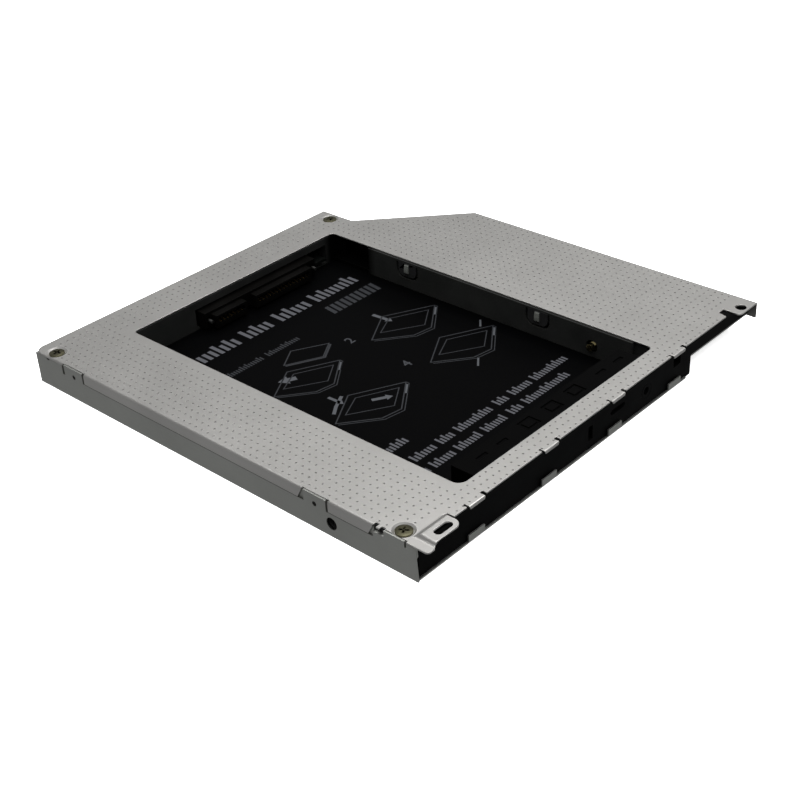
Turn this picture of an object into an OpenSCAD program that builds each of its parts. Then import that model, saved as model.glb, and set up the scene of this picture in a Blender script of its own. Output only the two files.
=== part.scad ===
// Carrier frame that holds a 2.5 inch drive in the bay of a slim optical drive.
// All modules draw in the corner frame: X runs across from the left side wall, Y runs from the
// bezel side to the connector side and Z runs up from the underside. place() then moves the
// corner frame so that the origin is at the middle of the footprint.

/* [Body] */
// Width across the body
body_w = 128; // [127.8:0.1:128.4]
// Depth from the bezel side to the connector side
body_d = 127; // [126.8:0.1:127.4]
// Height over the closed covers
body_h = 8.8; // [8.7:0.05:9.0]
// Height over the raised corner ear
ear_h = 9.5; // [9.4:0.05:9.7]
// Sheet thickness of both metal covers
sheet_t = 0.4; // [0.3:0.05:0.4]
// Width of the full-height part of the body
deep_w = 101.5; // [101.4:0.1:101.6]
// Width of the body at the connector side
rear_w = 102.7; // [102.6:0.1:102.8]
// Underside of the shallow ledge at the right side
ledge_z = 4.9; // [4.7:0.1:5.0]

/* [Drive bay] */
// Left edge of the bay
bay_x = 21.4; // [21.3:0.1:21.5]
// Width of the bay, which takes a 69.85 mm wide drive
bay_w = 71.2; // [71.0:0.1:71.3]
// Front edge of the window above the bay
bay_y = 6.7; // [6.6:0.1:6.9]
// Length of the window above the bay
bay_l = 107.5; // [107.3:0.1:107.6]
// Corner radius of the window at the bezel side
window_r = 2.4; // [2.0:0.1:2.6]
// Height of the drive's side screw holes over the underside
lock_z = 3.4; // [3.2:0.1:3.6]
// Place of the drive's front side screw holes along the depth
lock_y = 23.8; // [23.4:0.1:24.2]

/* [Contacts] */
// Pitch of the contacts, except the host plug's power contacts
pitch = 1.27; // [1.2:0.01:1.3]
// Pitch of the host plug's power contacts
narrow_pitch = 1.0; // [0.95:0.01:1.05]
// Number of signal contacts on either connector
signal_count = 7; // [5:1:7]
// Number of power contacts in the drive socket
power_count = 15; // [11:1:15]
// Number of power contacts on the host plug
host_power_count = 6; // [4:1:6]

/* [Screws] */
// Radius of the lock screws' thread
lock_r = 1.45; // [1.4:0.01:1.45]
// How far a lock screw's tip stands in the bay
lock_reach = 1.1; // [0.6:0.1:1.2]
// Radius of the cover screws' heads
head_r = 1.95; // [1.8:0.05:2.0]

/* [Hidden] */
$fn = 32;

// The tongue at the front left corner is the furthest forward point.
tongue_reach = 3.0;
tongue_w = 2.6;
// Everything is cut a little past the face that it opens through.
over = 1;
// Air between parts that lie face to face.
gap = 0.05;

top_z = body_h - sheet_t;
bay_right = bay_x + bay_w;
bay_rear = bay_y + bay_l;
// The corner beyond the bay is cut off at 45 degrees, from the step to the right side.
step_y = 115.5;
// Rear and step walls of the bottom cover stand this far inside the top cover's flanges.
rear_inset = 0.45;
diagonal_y = step_y - (body_w - rear_w);
// The window shows a strip of the frame to the right of the bay.
window_right = bay_right + 0.6;
window_left = bay_x - 0.1;
window_right_r = 1.4;
window_rear_r = 1.2;
front_edge_y = 0.8;
// The moulded front face and the tray's front edge stand behind the foot tabs.
frame_front_y = 0.65;
tray_front_y = 0.2;
// Corner cut of the frame and the tray at the right end of the full-height part.
corner_cut = 2.6;

// Tabs along the front edge of the top cover, with relief cuts beside them.
tab_count = 4;
tab_first_x = 16.9;
tab_pitch = 25.3;
tab_w = 5.0;
tab_cut_y = 1.9;
tab_front_y = 0.2;
tab_drop = 0.65;
tab_corner = 0.5;
// Tabs along the front edge of the bottom cover.
foot_tab_first_x = 15.9;
foot_tab_pitch = 24.9;
foot_tab_w = 5.2;
foot_tab_h = 2.1;
foot_fold_r = 0.35;

// Side flaps of the top cover, as [start, end] along the depth. Their front ends slant.
flaps = [[12.0, 24.6], [32.4, 107.2]];
flap_z = 6.05;
flap_slant = 1.2;
flap_cut = 0.6;
// Tabs of the side wall that reach up past the edge of the top cover.
wall_tabs = [[3.3, 8.9], [25.2, 31.8], [107.8, 115.0]];
wall_tab_gap = 0.15;
// Relief holes at the left edge of the top cover, as [start, end, reach from the edge].
relief_holes = [[8.9, 10.0, 0.95], [10.9, 11.9, 1.25]];
wall_step_z = 7.3;

// Right-hand ear with its round hole.
ear_x = [119.8, 121.0];
ear_hole = [123.3, 0.4];
ear_hole_r = 1.4;
ear_front_y = -1.6;
ear_recess_depth = 1.6;
notch_x = [117.0, 117.6];
notch_y = 3.2;

// Raised ear with its slot: foot and head of the slopes at its left and rear, and its free edges.
slope_x = [2.5, 3.2];
slope_y = [2.6, 1.9];
raised_right = 11.3;
raised_front = -2.45;
raised_corner_r = 2.0;
plate_left = 12.4;
ear_slot_x = [5.05, 9.95];
ear_slot_y = -0.5;
ear_slot_r = 1.0;

// Sheet is dished under the cover screws, which lets the heads sit lower.
cover_screw_places = [[2.8, 5.8], [2.8, 121.4], [99.7, 121.5]];
dish_r = 2.8;
dish_floor_r = 2.05;
dish_rim_r = 2.6;
dish_depth = 0.45;
screw_hole_r = 1.1;
shank_r = 0.9;
shank_l = 4.2;

// Lock screws, the inserts that they turn in and the driver holes outside them.
lock_l = 7;
insert_r = 2.1;
insert_l = 4.9;
insert_set_in = 0.85;
driver_r = 1.5;

// Threaded hole for a mounting bracket, in the side of the connector end.
bracket_hole = [118.6, 3.0];
bracket_hole_r = 0.8;
bracket_pad_z = 5.1;

// Spring fingers in the bay's right wall.
finger_places = [40.7, 85.2];
finger_w = 6.4;
finger_t = 1.0;
finger_axis_z = 7.75;
finger_low_z = 3.8;
finger_corner_r = 1.8;
finger_slot_gap = 0.6;
finger_nose_z = 5.8;
finger_nose_reach = 0.6;
finger_nose_w = 1.5;
bay_wall_t = 1.4;

// Adapter board and its connectors.
board_z = 2.2;
board_t = 0.8;
board_top = board_z + board_t;
board_front_y = 113.0;
board_rear_y = 125.0;
socket_x = [41.9, 82.7];
socket_y = [109.0, 116.6];
signal_x = 45.6;
power_x = 59.8;
plug_x = [5.6, 29.4];
plug_y = [118.4, 126.9];
plug_signal_x = 8.6;
plug_power_x = 18.9;
contact_w = 0.5;
board_screw_places = [[37.2, 120.8], [87.4, 120.8]];
boss_r = 1.9;
boss_hole_r = 0.65;
boss_hole_z = 0.7;

// Moves the corner frame to the middle of the footprint.
module place() {
    translate([-body_w / 2, -(body_d - tongue_reach) / 2, 0]) children();
}

// Box between two opposite corners.
module block(low, high) {
    translate(low) cube(high - low);
}

// Cylinders along the three axes, from a start point.
module rod_z(start, r, length) {
    translate(start) cylinder(r = r, h = length);
}

module rod_x(start, r, length) {
    translate(start) rotate([0, 90, 0]) cylinder(r = r, h = length);
}

module rod_y(start, r, length) {
    translate(start) rotate([-90, 0, 0]) cylinder(r = r, h = length);
}

// Rectangle with round corners. The radii run anticlockwise from the low corner.
module rounded_rect(low, high, r) {
    polygon([
        [low.x + r[0], low.y], [high.x - r[1], low.y], [high.x, low.y + r[1]], [high.x, high.y - r[2]],
        [high.x - r[2], high.y], [low.x + r[3], high.y], [low.x, high.y - r[3]], [low.x, low.y + r[0]]
    ]);
    translate([low.x + r[0], low.y + r[0]]) circle(r = r[0]);
    translate([high.x - r[1], low.y + r[1]]) circle(r = r[1]);
    translate([high.x - r[2], high.y - r[2]]) circle(r = r[2]);
    translate([low.x + r[3], high.y - r[3]]) circle(r = r[3]);
}

// Slot with round ends along X.
module slot_outline(x, y, r) {
    translate([x[0] + r, y - r]) square([x[1] - x[0] - 2 * r, 2 * r]);
    for (end = [x[0] + r, x[1] - r]) {
        translate([end, y]) circle(r = r);
    }
}

// Plate cut from a flat outline.
module plate(z, t) {
    translate([0, 0, z]) linear_extrude(t) children();
}

// Profile in the YZ plane, drawn along X.
module along_x(x, length, points) {
    translate([x, 0, 0]) rotate([90, 0, 90]) linear_extrude(length) polygon(points);
}

// Profile in the XZ plane, drawn along Y.
module along_y(y, length, points) {
    translate([0, y + length, 0]) rotate([90, 0, 0]) linear_extrude(length) polygon(points);
}

// Depth of the 45 degree corner at x, set in from the outside by inset. The corner is the same
// either way round, so this also gives x at a depth.
function diagonal_at(x, inset) = body_w + diagonal_y - inset * sqrt(2) - x;

// Upright strip of sheet along the 45 degree corner.
module diagonal_strip(z, height, t) {
    plate(z, height) polygon([
        [body_w, diagonal_at(body_w, 0)], [rear_w - t, diagonal_at(rear_w - t, 0)],
        [rear_w - t, diagonal_at(rear_w - t, t)], [body_w, diagonal_at(body_w, t)]
    ]);
}

// ---- Top cover ----

module top_outline() {
    rear_r = 2.5;
    tongue_r = 0.9;
    tongue_side = 0.6;
    polygon([
        [0, slope_y[0]], [plate_left, slope_y[0]], [plate_left, front_edge_y], [notch_x[0], front_edge_y],
        [notch_x[1], notch_y], [ear_x[0], notch_y], [ear_x[0], ear_front_y + ear_x[1] - ear_x[0]],
        [ear_x[1], ear_front_y], [body_w, ear_front_y], [body_w, diagonal_y], [rear_w, step_y],
        [rear_w, body_d], [rear_r, body_d], [0, body_d - rear_r]
    ]);
    translate([rear_r, body_d - rear_r]) circle(r = rear_r);
    ear_r = ear_x[1] - ear_x[0];
    translate([ear_x[1], ear_front_y + ear_r]) circle(r = ear_r);
    // Tongue at the front left corner
    polygon([
        [tongue_r, -tongue_reach], [tongue_w - tongue_side, -tongue_reach], [slope_x[0], raised_front - 0.1],
        [slope_x[0], slope_y[0] + 1], [0, slope_y[0] + 1], [0, tongue_r - tongue_reach]
    ]);
    translate([tongue_r, tongue_r - tongue_reach]) circle(r = tongue_r);
}

// Openings in the flat of the top cover.
module top_cuts() {
    slit_w = 0.5;
    slit_x = 0.7;
    rounded_rect([window_left, bay_y], [window_right, bay_rear],
                 [window_r, window_right_r, window_rear_r, window_rear_r]);
    translate(ear_hole) circle(r = ear_hole_r);
    for (p = cover_screw_places) {
        translate(p) circle(r = dish_r - 0.3);
    }
    // Relief cuts beside the front tabs
    for (i = [0:tab_count - 1]) {
        x = tab_first_x + i * tab_pitch;
        translate([x - slit_w, 0]) square([slit_w, tab_cut_y]);
        translate([x + tab_w, 0]) square([slit_w + 0.4, tab_cut_y]);
    }
    // Slits at the ends of the side flaps and openings for the side wall's tabs
    for (f = flaps) {
        translate([-1, f[0] - flap_cut]) square([1 + slit_x, flap_cut]);
        translate([-1, f[1]]) square([1 + slit_x, flap_cut]);
    }
    for (t = wall_tabs) {
        translate([-1, t[0] - slit_w]) square([1 + sheet_t + wall_tab_gap, t[1] - t[0] + 2 * slit_w]);
    }
    // Relief holes between the first wall tab and the first side flap
    for (hole = relief_holes) {
        translate([-1, hole[0]]) square([1 + hole[2], hole[1] - hole[0]]);
    }
}

// Everything below the raised ear's top face, moved down by drop.
module ear_space(drop) {
    floor_z = top_z - 2 - drop;
    flat_z = body_h - drop;
    head_z = ear_h - drop;
    intersection() {
        along_y(-5, 10, [
            [0, floor_z], [raised_right + 2, floor_z], [raised_right + 2, head_z], [slope_x[1], head_z],
            [slope_x[0], flat_z], [0, flat_z]
        ]);
        along_x(-1, raised_right + 4, [
            [-5, floor_z], [5, floor_z], [5, flat_z], [slope_y[0], flat_z], [slope_y[1], head_z], [-5, head_z]
        ]);
    }
}

// Ear that is pressed up from the cover, open at its front and right edges.
module raised_ear() {
    lap = 0.2;
    corner_x = raised_right - raised_corner_r;
    corner_y = raised_front + raised_corner_r;
    difference() {
        intersection() {
            plate(top_z - sheet_t, ear_h) difference() {
                union() {
                    polygon([
                        [slope_x[0] - lap, raised_front - 0.1], [slope_x[0], raised_front - 0.1],
                        [slope_x[1], raised_front], [corner_x, raised_front], [raised_right, corner_y],
                        [raised_right, slope_y[0] + lap], [slope_x[0] - lap, slope_y[0] + lap]
                    ]);
                    translate([corner_x, corner_y]) circle(r = raised_corner_r);
                }
                slot_outline(ear_slot_x, ear_slot_y, ear_slot_r);
            }
            ear_space(0);
        }
        ear_space(sheet_t);
    }
}

module top_cover() place() color([0.78, 0.77, 0.76]) {
    lap_y = front_edge_y + 0.4;
    lip_z = body_h - tab_drop;
    fold_r = 0.5;
    // Quarter turn over the front edge, in three steps, then straight down to the lip
    fold = [
        [lap_y, top_z], [lap_y, body_h], [tab_front_y + fold_r, body_h],
        [tab_front_y + 0.5 * fold_r, body_h - 0.13 * fold_r],
        [tab_front_y + 0.13 * fold_r, body_h - 0.5 * fold_r],
        [tab_front_y, body_h - fold_r], [tab_front_y, lip_z], [tab_front_y + sheet_t, lip_z],
        [tab_front_y + sheet_t, top_z]
    ];
    side_flange_z = ledge_z - 0.4;
    step_flange_z = 5.2;
    rear_flange_z = 5.6;
    rear_flange_x = 34;
    difference() {
        union() {
            plate(top_z, sheet_t) difference() {
                top_outline();
                top_cuts();
            }
            for (i = [0:tab_count - 1]) {
                x = tab_first_x + i * tab_pitch;
                difference() {
                    along_x(x, tab_w, fold);
                    // Right corner of the lip is cut off
                    along_y(-1, 1 + front_edge_y, [
                        [x + tab_w + over, lip_z - over], [x + tab_w + over, lip_z + tab_corner + over],
                        [x + tab_w - tab_corner - over, lip_z - over]
                    ]);
                }
            }
            for (f = flaps) {
                along_x(0, sheet_t, [
                    [f[0], body_h], [f[0], body_h - fold_r], [f[0] + flap_slant, flap_z], [f[1], flap_z],
                    [f[1], body_h]
                ]);
            }
            raised_ear();
            // Right, diagonal, step and rear flanges
            block([body_w - sheet_t, ear_front_y, side_flange_z], [body_w, diagonal_y, body_h]);
            diagonal_strip(side_flange_z, body_h - side_flange_z, sheet_t);
            block([rear_w - sheet_t, step_y, step_flange_z], [rear_w, body_d, body_h]);
            block([rear_flange_x, body_d - sheet_t, rear_flange_z], [rear_w, body_d, body_h]);
            // Dishes under the cover screws
            intersection() {
                block([0, 0, 0], [body_w, body_d, body_h]);
                for (p = cover_screw_places) {
                    translate([p.x, p.y, top_z - dish_depth])
                        cylinder(r1 = dish_floor_r + 0.4, r2 = dish_rim_r + 0.4, h = sheet_t + dish_depth);
                }
            }
        }
        for (p = cover_screw_places) {
            rod_z([p.x, p.y, 0], screw_hole_r, body_h + over);
            translate([p.x, p.y, body_h - dish_depth])
                cylinder(r1 = dish_floor_r, r2 = dish_rim_r, h = dish_depth);
        }
        // Opening for the side wall's front tab, past the dish
        block([-over, wall_tabs[0][0] - 0.5, 0],
              [sheet_t + wall_tab_gap, wall_tabs[0][1] + 0.5, body_h + over]);
    }
}

// ---- Bottom cover ----

module bottom_cover() place() color([0.62, 0.62, 0.6]) {
    inner_z = top_z - gap;
    set_in = sheet_t + gap;
    rear = body_d - rear_inset;
    rear_right = rear_w - rear_inset;
    ledge_front = frame_front_y;
    riser_x = deep_w - sheet_t;
    riser_front = frame_front_y + corner_cut + 0.3;
    riser_rear = step_y - 1.2;
    ledge_right = body_w - 0.5;
    rear_tab_y = 115.8;
    wall_lean = 0.6;
    detents = [[28.6, 6.4], [111.3, 6.5]];
    detent_r = 0.6;
    difference() {
        union() {
            plate(0, sheet_t) polygon([
                [0, tray_front_y], [riser_x - corner_cut, tray_front_y], [deep_w, riser_front],
                [deep_w, riser_rear], [rear_right, step_y], [rear_right, rear], [0, rear]
            ]);
            // Left wall: outer face low down, set in behind the flaps higher up
            along_y(0, rear, [
                [0, 0], [sheet_t, 0], [sheet_t, flap_z - 0.5], [set_in + sheet_t, flap_z - 0.1],
                [set_in + sheet_t, inner_z], [set_in, inner_z], [set_in, flap_z - 0.02], [0, flap_z - 0.12]
            ]);
            for (i = [1:2]) {
                block([0, wall_tabs[i][0], 0], [sheet_t, wall_tabs[i][1], body_h - gap]);
            }
            block([0, 0, 0], [sheet_t, wall_tabs[0][0] - 0.5, inner_z]);
            block([0, 0, 0], [sheet_t, flaps[0][0] - 0.1, wall_step_z]);
            block([0, rear_tab_y, 0], [sheet_t, rear, inner_z]);
            for (i = [0:tab_count - 1]) {
                x = foot_tab_first_x + i * foot_tab_pitch;
                block([x, 0, 0], [x + foot_tab_w, sheet_t, foot_tab_h]);
            }
            // Rear wall
            block([0, rear - sheet_t, 0], [rear_right, rear, inner_z]);
            // Riser up to the shallow ledge, and the ledge itself
            block([riser_x, riser_front, 0], [deep_w, riser_rear, ledge_z + sheet_t]);
            plate(ledge_z, sheet_t) polygon([
                [riser_x, ledge_front], [ledge_right, ledge_front],
                [ledge_right, diagonal_at(ledge_right, 0.5)], [diagonal_at(riser_rear, 0.5), riser_rear],
                [riser_x, riser_rear]
            ]);
        }
        // Room for the dishes of the top cover
        for (p = cover_screw_places) {
            rod_z([p.x, p.y, top_z - dish_depth - gap], dish_r + gap, over);
        }
        // Outer bend of the front tabs
        for (i = [0:tab_count - 1]) {
            along_x(foot_tab_first_x + i * foot_tab_pitch, foot_tab_w, [
                [-over, -over], [foot_fold_r, -over], [foot_fold_r, 0], [0, foot_fold_r],
                [-over, foot_fold_r]
            ]);
        }
        // Notch in the wall below the relief holes
        block([-over, relief_holes[0][0], wall_step_z], [3 * sheet_t, relief_holes[1][1], body_h]);
        // Front edge of the left wall leans back
        along_x(-over, over + 0.9, [[-over, 0], [0, 0], [wall_lean, top_z], [-over, top_z]]);
        // Driver hole and detent holes in the left wall, driver hole in the riser
        rod_x([-over, lock_y, lock_z], driver_r, 3);
        for (d = detents) {
            rod_x([-over, d[0], d[1]], detent_r, 3);
        }
        rod_x([deep_w - 2, lock_y, lock_z - 0.2], driver_r, 4);
        // Window for the host plug
        block([plug_x[0] - 0.3, body_d - 2, 1.5], [plug_x[1] + 0.3, body_d + over, 7.4]);
    }
    // The front tab of the left wall stands clear of the dish beside it
    block([0, wall_tabs[0][0], wall_step_z - over], [sheet_t, wall_tabs[0][1], body_h - gap]);
}

// ---- Moulded frame ----

// Pockets that lighten a rail, as a grid of boxes.
module pockets(start, size, step, count, low, high) {
    for (i = [0:count.x - 1], j = [0:count.y - 1]) {
        corner = [start.x + i * step.x, start.y + j * step.y];
        block([corner.x, corner.y, low], [corner.x + size.x, corner.y + size.y, high]);
    }
}

// Upright tongue along X with round lower corners, up to the hinge axis of a finger.
module tongue(x, t, y, half, low, r) {
    block([x, y - half, low + r], [x + t, y + half, finger_axis_z]);
    block([x, y - half + r, low], [x + t, y + half - r, low + r + over]);
    for (side = [-1, 1]) {
        rod_x([x, y + side * (half - r), low + r], r, t);
    }
}

// Slot round a spring finger, with a round seat for its root.
module finger_slot(y) {
    wall_x = bay_right - over;
    tongue(wall_x, over + bay_wall_t + 0.2, y, finger_w / 2 + finger_slot_gap,
           finger_low_z - finger_slot_gap, finger_corner_r + finger_slot_gap);
    rod_y([bay_right + finger_t / 2, y - finger_w / 2 - 0.1, finger_axis_z],
          finger_t / 2 + 0.08, finger_w + 0.2);
}

module bay_frame() place() color([0.09, 0.09, 0.1]) {
    low = sheet_t + gap;
    high = top_z - gap;
    front = frame_front_y;
    left = 2 * sheet_t + 2 * gap;
    right = deep_w - sheet_t - gap;
    rear = body_d - rear_inset - sheet_t - gap;
    ledge_low = ledge_z + sheet_t + gap;
    ledge_rear = step_y - 0.3;
    ledge_right = body_w - 0.5;
    floor_z = 1.1;
    lintel_z = 6.3;
    board_room_y = 115.6;
    channel_z = 1.6;
    open_wall_y = 99.7;
    // Stretches of the channel behind the bay's right wall, between ribs
    channel = [[9, 18.4], [29.4, 46.5], [48, 63], [64.5, 78], [79.5, 92], [93.5, 111]];
    difference() {
        union() {
            plate(low, high - low) polygon([
                [left, front + 0.35], [left + 0.35, front], [right - corner_cut, front],
                [right, front + corner_cut], [right, step_y], [rear_w - 0.9, step_y + 1],
                [rear_w - 0.9, rear], [left, rear]
            ]);
            // Shallow side ledge
            plate(ledge_low, high - ledge_low) polygon([
                [right - 3, front], [ledge_right, front],
                [ledge_right, diagonal_at(ledge_right, 0.6)], [diagonal_at(ledge_rear, 0.6), ledge_rear],
                [right - 3, ledge_rear]
            ]);
            // Pad below the top cover's step flange, where the bracket's hole opens
            block([rear_w - 2, step_y + 0.6, low], [rear_w - rear_inset, rear, bracket_pad_z]);
        }
        // Drive bay, open through the full height
        block([bay_x, bay_y - 0.2, -over], [bay_right, bay_rear - 0.2, body_h + over]);
        // Socket pocket below the rear lintel, and the board compartment behind it
        block([socket_x[0] - 0.7, bay_rear - 0.3, floor_z], [bay_right - 2.6, 118.2, lintel_z]);
        block([34.6, 117.0, floor_z], [bay_right - 1.2, rear - 1.0, high + over]);
        block([3.4, board_room_y, floor_z], [35, rear - 1.0, high + over]);
        block([34.6, board_room_y, floor_z], [45, 118, lintel_z]);
        block([plug_x[0] - 0.15, rear - 2, 1.3], [plug_x[1] + 0.15, rear + over, high + over]);
        // Spring finger slots and the channel behind them
        for (y = finger_places) {
            finger_slot(y);
        }
        for (span = channel) {
            block([bay_right + bay_wall_t, span[0], channel_z], [right - 1.2, span[1], high + over]);
        }
        // Open end of the right wall beside the socket
        block([bay_right - over, open_wall_y, channel_z],
              [bay_right + bay_wall_t + over, bay_rear - 0.2, high + over]);
        lock_insert_bores();
        // Weight-saving pockets in the left rail and under the ledge's top
        pockets([3.0, 33.5], [7.6, 11.2], [9.0, 12.9], [2, 6], channel_z, high + over);
        pockets([3.0, 11.6], [7.6, 7.0], [9.0, 9], [2, 1], channel_z, high + over);
        pockets([102.4, 4.0], [7.0, 11.0], [8.4, 12.4], [3, 7], ledge_low + 1.2, high + over);
        // Shank holes under the cover screws and room for their dishes
        for (p = cover_screw_places) {
            rod_z([p.x, p.y, 2.6], shank_r + gap, body_h);
            rod_z([p.x, p.y, top_z - dish_depth - gap], dish_r + 0.1, over);
        }
        for (p = board_screw_places) {
            rod_z([p.x, p.y, boss_hole_z], boss_hole_r, over);
        }
        // Room under the ear's hole, the bracket's hole and a finger notch at the bar's end
        rod_z([ear_hole.x, ear_hole.y, high - ear_recess_depth], ear_hole_r + 0.3, 3);
        rod_x([right - 6.2, bracket_hole.x, bracket_hole.y], bracket_hole_r, 9);
        block([bay_right - over, bay_y + 0.6, 4.4], [bay_right + 1.3, bay_y + 5.4, high + over]);
        front_face_cuts();
    }
    // Bosses that carry the board, joined to the compartment's floor
    for (p = board_screw_places) {
        difference() {
            rod_z([p.x, p.y, low], boss_r, board_z - gap - low);
            rod_z([p.x, p.y, boss_hole_z], boss_hole_r, 3);
        }
    }
}

// Bores for the lock screws' inserts, with a driver channel outside and a mouth in the bay.
module lock_insert_bores() {
    channel_r = 1.6;
    mouth_r = 1.7;
    rod_x([0.5, lock_y, lock_z], channel_r, 16);
    rod_x([bay_x - insert_set_in - insert_l - gap, lock_y, lock_z], insert_r + gap, insert_l + 0.1);
    rod_x([bay_x - 1, lock_y, lock_z], mouth_r, 2);
    rod_x([bay_right + insert_set_in - gap, lock_y, lock_z], insert_r + gap, insert_l + 0.1);
    rod_x([bay_right - 1, lock_y, lock_z], mouth_r, 2);
    rod_x([bay_right + insert_set_in + insert_l - gap, lock_y, lock_z], channel_r, 4);
}

// Recesses that a bezel would clip into.
module front_face_cuts() {
    peg = [81.7, 4.5];
    peg_r = 1.0;
    ring_r = [1.7, 2.1];
    block([58.6, -over, 2.6], [60.2, 2.0, 6.2]);
    translate([0, 2.2, 0]) rotate([90, 0, 0]) linear_extrude(3.5) slot_outline([67.2, 72.8], 5.5, 0.65);
    rod_y([peg.x, -over, peg.y], peg_r, 4.2);
    difference() {
        rod_y([peg.x, -over, peg.y], ring_r[1], over + 0.7);
        rod_y([peg.x, -over, peg.y], ring_r[0], over + 2);
    }
    block([93.2, -over, 5.3], [96.2, 2.4, 7.6]);
}

// ---- Bar between the bay's front wall and the drive ----

module end_bar() place() color([0.13, 0.13, 0.14]) {
    top = body_h - 0.5;
    low = 0.7;
    groove_depth = 0.3;
    pocket_x = 28.6;
    pocket_step = 11.7;
    pocket_w = 9.8;
    difference() {
        union() {
            block([26.3, bay_y + 0.15, low], [88.6, 13.5, top]);
            block([bay_x + 0.35, bay_y + 2.6, low], [bay_right - 0.35, 12.9, 3.4]);
        }
        // Grooved outlines and short grooves on the top face
        for (x = [47.4, 56.0, 64.6]) {
            difference() {
                block([x, 8.6, top - groove_depth], [x + 4.4, 12.2, top + over]);
                block([x + 0.7, 9.3, top - over], [x + 3.7, 11.5, top + 2]);
            }
        }
        for (x = [31.5, 38.5, 75.5, 82.5]) {
            block([x, 9.9, top - groove_depth], [x + 3.2, 10.9, top + over]);
        }
        // Lightening pockets from below
        for (i = [0:4]) {
            x = pocket_x + i * pocket_step;
            block([x, bay_y + 1.3, 0], [x + pocket_w, 12.0, 6.6]);
        }
    }
}

// ---- Spring fingers ----

module spring_finger(y) {
    half = finger_w / 2;
    x = [bay_right, bay_right + finger_t];
    nose_x = x[0] - finger_nose_reach;
    nose = [
        [x[0] + 0.2, finger_nose_z - 1.3], [nose_x, finger_nose_z - 0.6], [nose_x, finger_nose_z + 0.3],
        [nose_x + 0.25, finger_nose_z + 1.6], [x[0] + 0.2, finger_axis_z]
    ];
    rod_y([x[0] + finger_t / 2, y - half, finger_axis_z], finger_t / 2, finger_w);
    tongue(x[0], finger_t, y, half, finger_low_z, finger_corner_r);
    // Nose that bears on the drive's side
    along_y(y - finger_nose_w / 2, finger_nose_w, nose);
}

module spring_finger_front() place() color([0.16, 0.16, 0.17]) spring_finger(finger_places[0]);

module spring_finger_rear() place() color([0.16, 0.16, 0.17]) spring_finger(finger_places[1]);

// ---- Lock screws ----

// Headless screw along +X from its driven end, with a hexagonal socket and a dog point.
module lock_screw() {
    point = 1.2;
    chamfer = 0.5;
    socket_r = 0.75;
    socket_depth = 1.6;
    difference() {
        union() {
            rod_x([0, 0, 0], lock_r, lock_l - point - chamfer);
            translate([lock_l - point - chamfer, 0, 0]) rotate([0, 90, 0])
                cylinder(r1 = lock_r, r2 = lock_r - chamfer, h = chamfer);
            rod_x([lock_l - point, 0, 0], lock_r - chamfer, point);
        }
        translate([-over, 0, 0]) rotate([0, 90, 0])
            cylinder(r = socket_r, h = over + socket_depth, $fn = 6);
    }
}

module lock_screw_left() place() color([0.78, 0.66, 0.38])
    translate([bay_x + lock_reach - lock_l, lock_y, lock_z]) lock_screw();

module lock_screw_right() place() color([0.78, 0.66, 0.38])
    translate([bay_right - lock_reach + lock_l, lock_y, lock_z]) rotate([0, 0, 180]) lock_screw();

module insert_ring(x) {
    difference() {
        rod_x([x, lock_y, lock_z], insert_r, insert_l);
        rod_x([x - over, lock_y, lock_z], lock_r + gap, insert_l + 2 * over);
    }
}

module lock_screw_inserts() place() color([0.72, 0.58, 0.3]) {
    insert_ring(bay_x - insert_set_in - insert_l);
    insert_ring(bay_right + insert_set_in);
}

// ---- Label ----

module label_film() place() color([0.05, 0.05, 0.06])
    plate(sheet_t + 0.02, 0.12)
        rounded_rect([bay_x + 0.08, bay_y - 0.1], [bay_right - 0.08, bay_rear - 0.3], [0.5, 0.5, 0.5, 0.5]);

// ---- Adapter board ----

module adapter_board() place() color([0.05, 0.06, 0.055]) {
    difference() {
        plate(board_z, board_t) polygon([
            [4.2, 116.0], [41.6, 116.0], [41.6, board_front_y], [88.6, board_front_y], [88.6, 117.4],
            [90.6, 117.4], [90.6, board_rear_y - 0.1], [4.2, board_rear_y - 0.1]
        ]);
        for (p = board_screw_places) {
            rod_z([p.x, p.y, 0], 1.1, 8);
        }
        // Room for the socket's end walls beside its board slot
        block([41, 112, 1], [socket_x[0] + 1.25, 116.7, 4]);
        block([socket_x[1] - 1.25, 112, 1], [socket_x[1] + 0.9, 116.7, 4]);
    }
}

// Pan head with a cross recess, top of the head at z = 0.
module cross_head(r, t, arm) {
    edge = 0.25;
    bevel = 0.45;
    recess = 0.45;
    recess_half = 0.17;
    recess_r = 0.36;
    difference() {
        union() {
            rod_z([0, 0, -t], r, t - edge);
            translate([0, 0, -edge]) cylinder(r1 = r, r2 = r - bevel, h = edge);
        }
        for (turn = [0, 90]) {
            rotate([0, 0, turn]) block([-arm, -recess_half, -recess], [arm, recess_half, over]);
        }
        rod_z([0, 0, -recess], recess_r, over);
    }
}

module board_screws() place() color([0.75, 0.74, 0.7]) {
    board_head_r = 1.7;
    head_h = 0.75;
    board_shank_r = 0.62;
    shank_low = 0.9;
    for (p = board_screw_places) {
        translate([p.x, p.y, board_top + head_h]) cross_head(board_head_r, head_h - 0.02, 0.9);
        rod_z([p.x, p.y, shank_low], board_shank_r, board_top - shank_low + 0.1);
    }
}

module board_capacitors() place() color([0.62, 0.5, 0.36])
    for (x = [46.5, 52.5, 60.5, 66.5, 72.5]) {
        translate([x, 119.4, board_top]) cube([1.6, 0.8, 0.8]);
    }

module board_resistors() place() color([0.12, 0.12, 0.13])
    for (x = [48.6, 54.6, 62.6, 68.6]) {
        translate([x, 122.4, board_top]) cube([1.0, 0.5, 0.35]);
    }

// ---- Drive socket ----

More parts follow.
